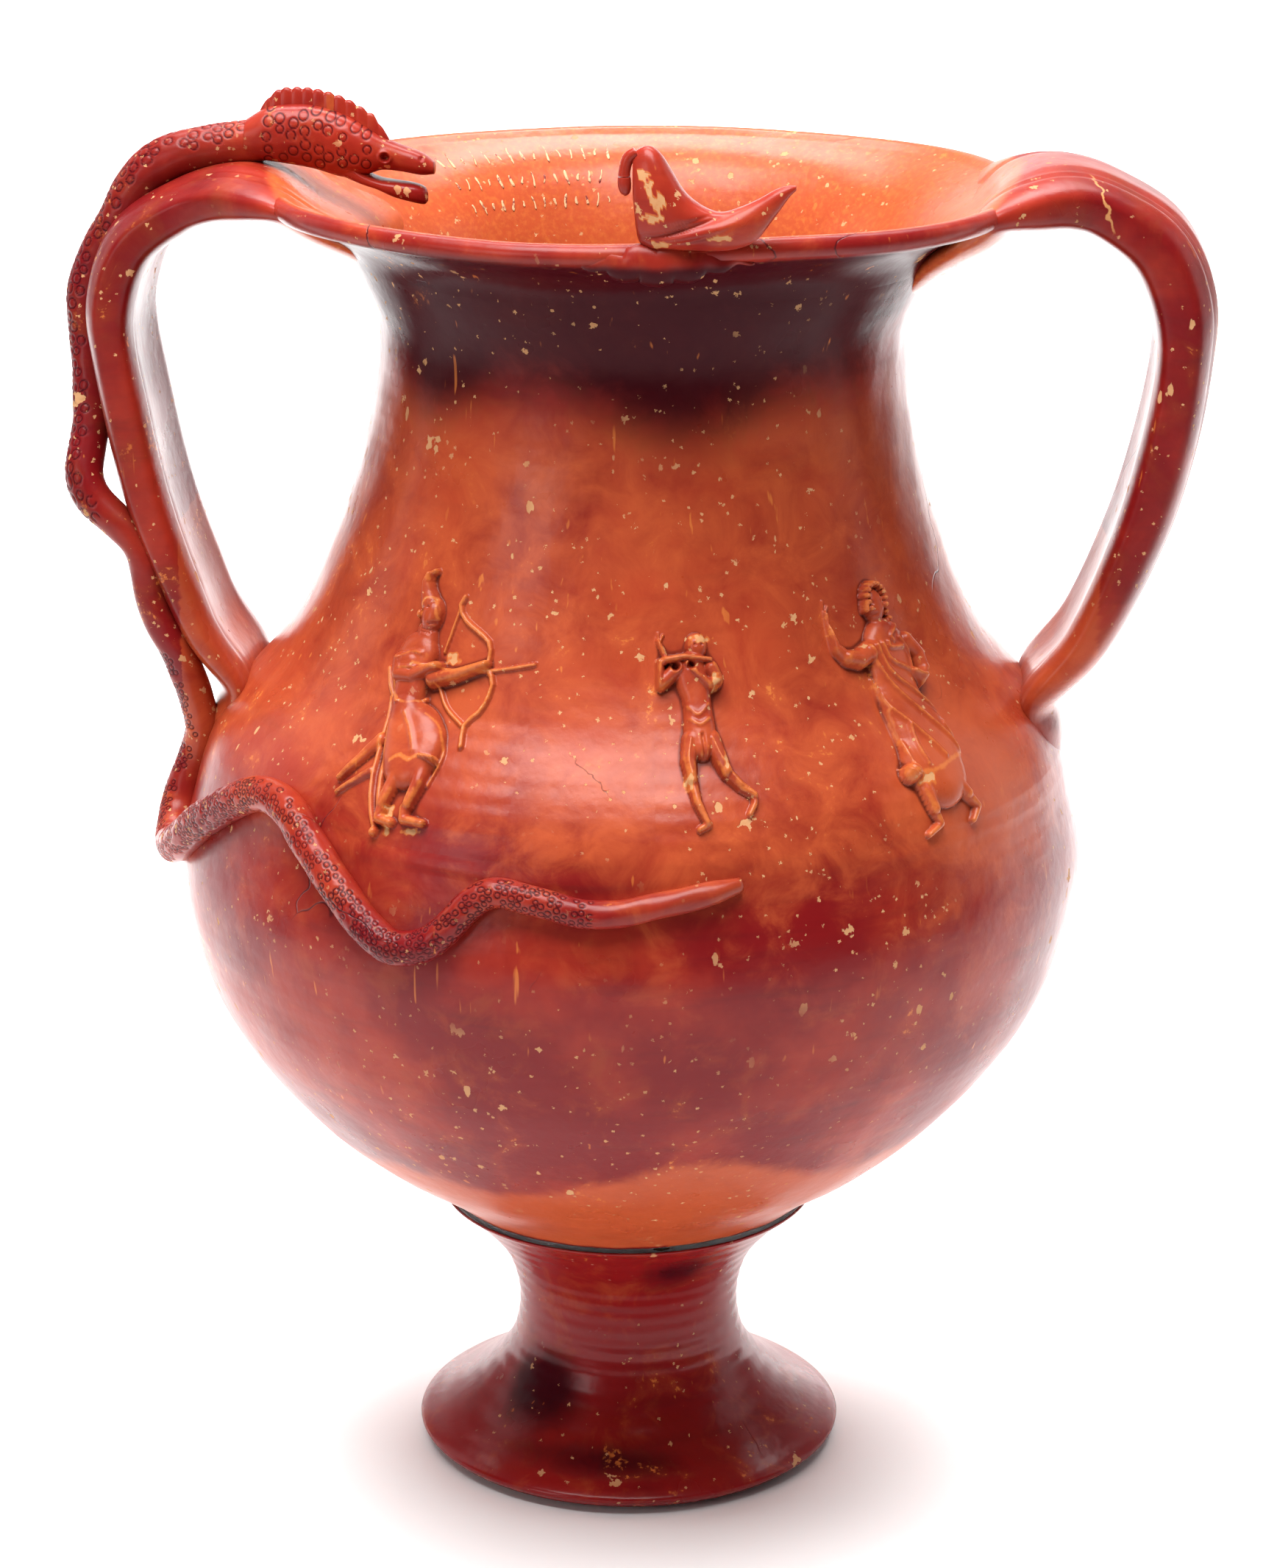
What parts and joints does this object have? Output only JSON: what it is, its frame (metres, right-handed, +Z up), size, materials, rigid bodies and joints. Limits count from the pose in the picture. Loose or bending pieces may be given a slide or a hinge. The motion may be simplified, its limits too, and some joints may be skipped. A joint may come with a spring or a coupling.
{
  "type": "krater",
  "caption": "Hollow two-handled krater on a pedestal foot, a serpent climbing over one handle, a bird on the rim and low clay figures on the front.",
  "frame": {"origin": "on the foot's axis, on the table plane under the standing ring", "axes": "+Z up, +X from the serpent's handle towards the plain handle, the figured front faces -Y"},
  "size_m": [0.319, 0.2578, 0.3997],
  "materials": {
    "red_slip": "satin red slip over pale clay, chipped and worn",
    "foot_slip": "satin dark red slip with darker patches"
  },
  "bodies": {
    "root": {"vessel": "red_slip", "foot": "foot_slip"}
  },
  "joints": []
}
